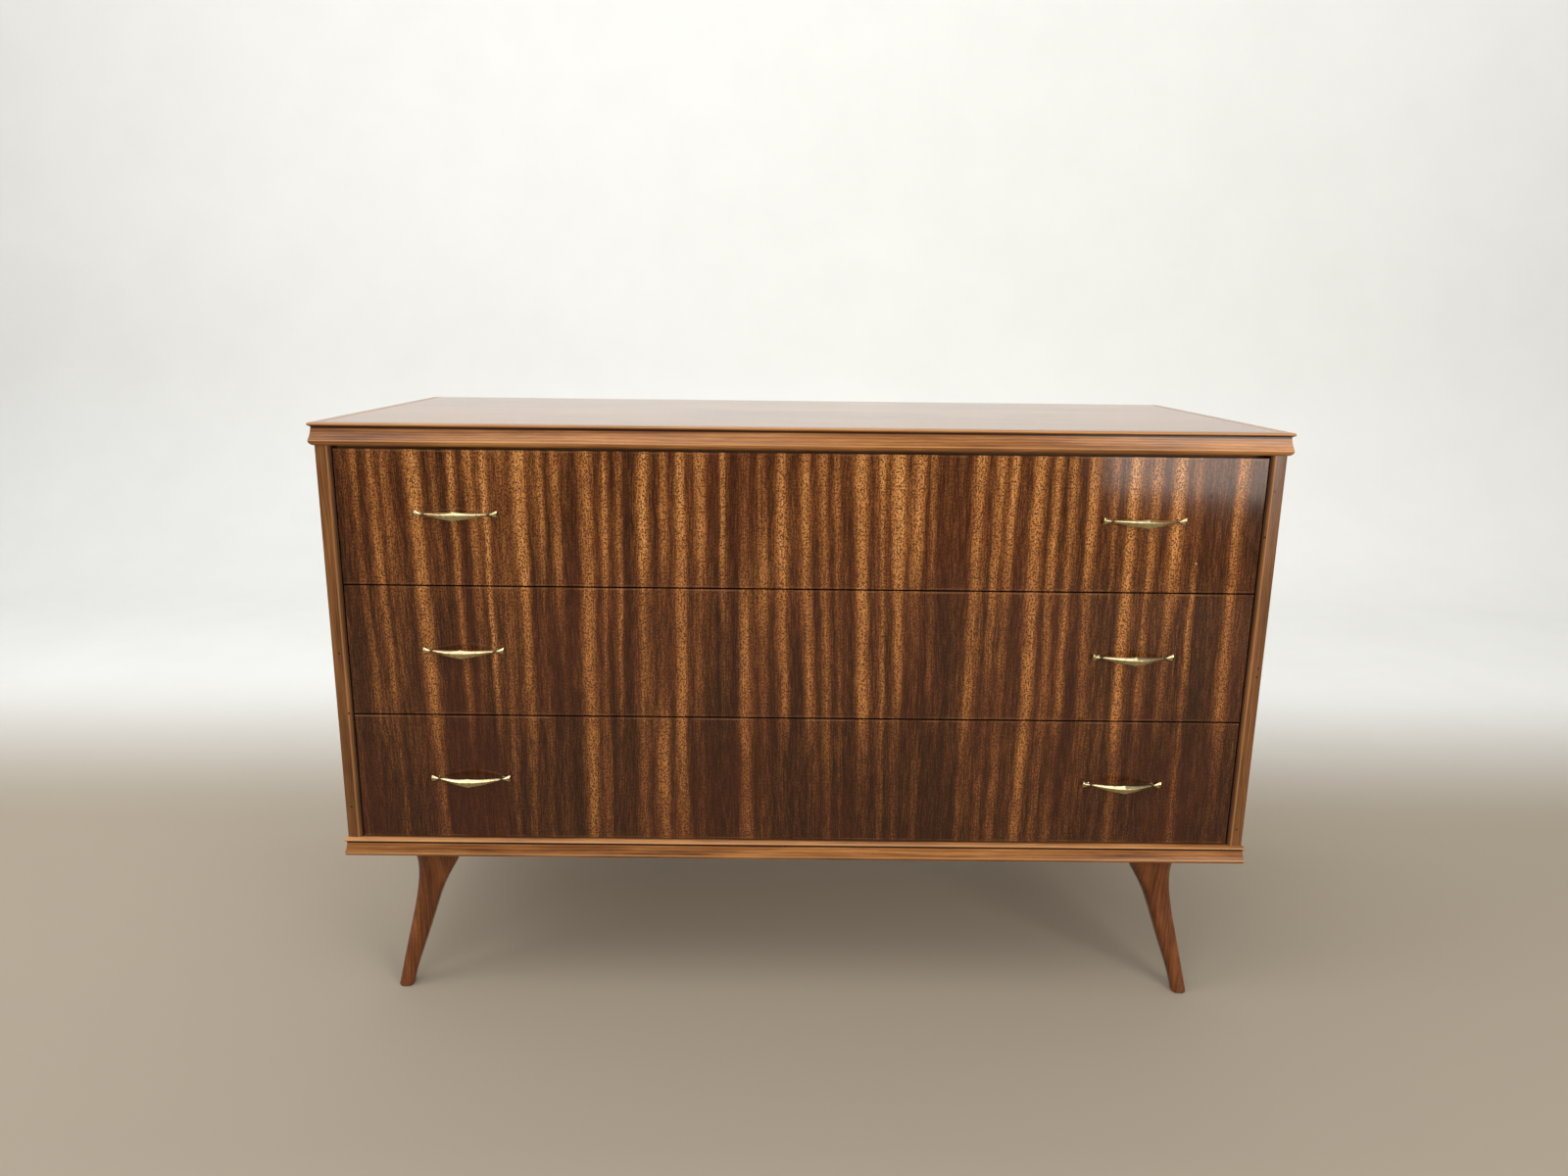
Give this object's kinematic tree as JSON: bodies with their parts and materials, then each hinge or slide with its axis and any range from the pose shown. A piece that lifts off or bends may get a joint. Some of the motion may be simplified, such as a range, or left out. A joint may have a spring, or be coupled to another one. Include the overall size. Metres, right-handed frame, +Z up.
{
  "type": "dresser with drawers",
  "caption": "Wide low chest of full-width drawers with striped veneer fronts, moulded top and plinth, brass bow handles and splayed tapered legs, for storing clothes and linen.",
  "frame": {"origin": "centre of the bounding box on the floor, handles included", "axes": "+X along the width to the right seen from the front, +Y from the front to the back, +Z up; the drawers open towards -Y"},
  "size_m": [1.25, 0.5326, 0.803],
  "materials": {
    "ribbon_veneer": "ribbon-striped mahogany-type veneer, glossy varnish",
    "top_veneer": "lengthwise veneer, glossy varnish",
    "side_veneer": "upright veneer, glossy varnish",
    "moulding_wood": "solid reddish-brown wood, varnished",
    "stile_wood": "solid honey-brown wood, varnished",
    "leg_wood": "solid dark reddish-brown wood, varnished",
    "base_board": "plain blockboard, unvarnished",
    "back_plywood": "plain plywood, unvarnished",
    "drawer_wood": "pale solid wood, waxed",
    "drawer_plywood": "thin plywood, unvarnished",
    "frame_wood": "pale solid wood, unvarnished",
    "brass": "cast, polished, slightly worn",
    "steel": "plain wood screws"
  },
  "bodies": {
    "carcass": {"back_panel": "back_plywood", "back_panel_screws": "steel", "bottom_panel": "base_board", "drawer_stops": "frame_wood", "front_stile_left": "stile_wood", "front_stile_right": "stile_wood", "kicker_left": "frame_wood", "kicker_right": "frame_wood", "leg_front_left": "leg_wood", "leg_front_right": "leg_wood", "leg_rear_left": "leg_wood", "leg_rear_right": "leg_wood", "leg_screws": "steel", "lower_rail": "frame_wood", "lower_runner_left": "frame_wood", "lower_runner_right": "frame_wood", "middle_runner_left": "frame_wood", "middle_runner_right": "frame_wood", "plinth_moulding_front": "moulding_wood", "plinth_moulding_left": "moulding_wood", "plinth_moulding_right": "moulding_wood", "runner_screws": "steel", "side_panel_left": "side_veneer", "side_panel_right": "side_veneer", "top_moulding_front": "moulding_wood", "top_moulding_left": "moulding_wood", "top_moulding_right": "moulding_wood", "top_panel": "top_veneer", "top_rail": "frame_wood", "upper_rail": "frame_wood", "upper_runner_left": "frame_wood", "upper_runner_right": "frame_wood"},
    "lower_drawer": {"lower_drawer_back": "drawer_wood", "lower_drawer_bottom": "drawer_plywood", "lower_drawer_front": "ribbon_veneer", "lower_drawer_side_left": "drawer_wood", "lower_drawer_side_right": "drawer_wood", "lower_handle_left": "brass", "lower_handle_right": "brass", "lower_handle_screws": "steel"},
    "middle_drawer": {"middle_drawer_back": "drawer_wood", "middle_drawer_bottom": "drawer_plywood", "middle_drawer_front": "ribbon_veneer", "middle_drawer_side_left": "drawer_wood", "middle_drawer_side_right": "drawer_wood", "middle_handle_left": "brass", "middle_handle_right": "brass", "middle_handle_screws": "steel"},
    "upper_drawer": {"upper_drawer_back": "drawer_wood", "upper_drawer_bottom": "drawer_plywood", "upper_drawer_front": "ribbon_veneer", "upper_drawer_side_left": "drawer_wood", "upper_drawer_side_right": "drawer_wood", "upper_handle_left": "brass", "upper_handle_right": "brass", "upper_handle_screws": "steel"}
  },
  "joints": [
    {"name": "lower_drawer_slide", "type": "slide", "parent": "carcass", "child": "lower_drawer", "axis": [0, -1, 0], "range_m": [0, 0.34]},
    {"name": "middle_drawer_slide", "type": "slide", "parent": "carcass", "child": "middle_drawer", "axis": [0, -1, 0], "range_m": [0, 0.34]},
    {"name": "upper_drawer_slide", "type": "slide", "parent": "carcass", "child": "upper_drawer", "axis": [0, -1, 0], "range_m": [0, 0.34]}
  ]
}
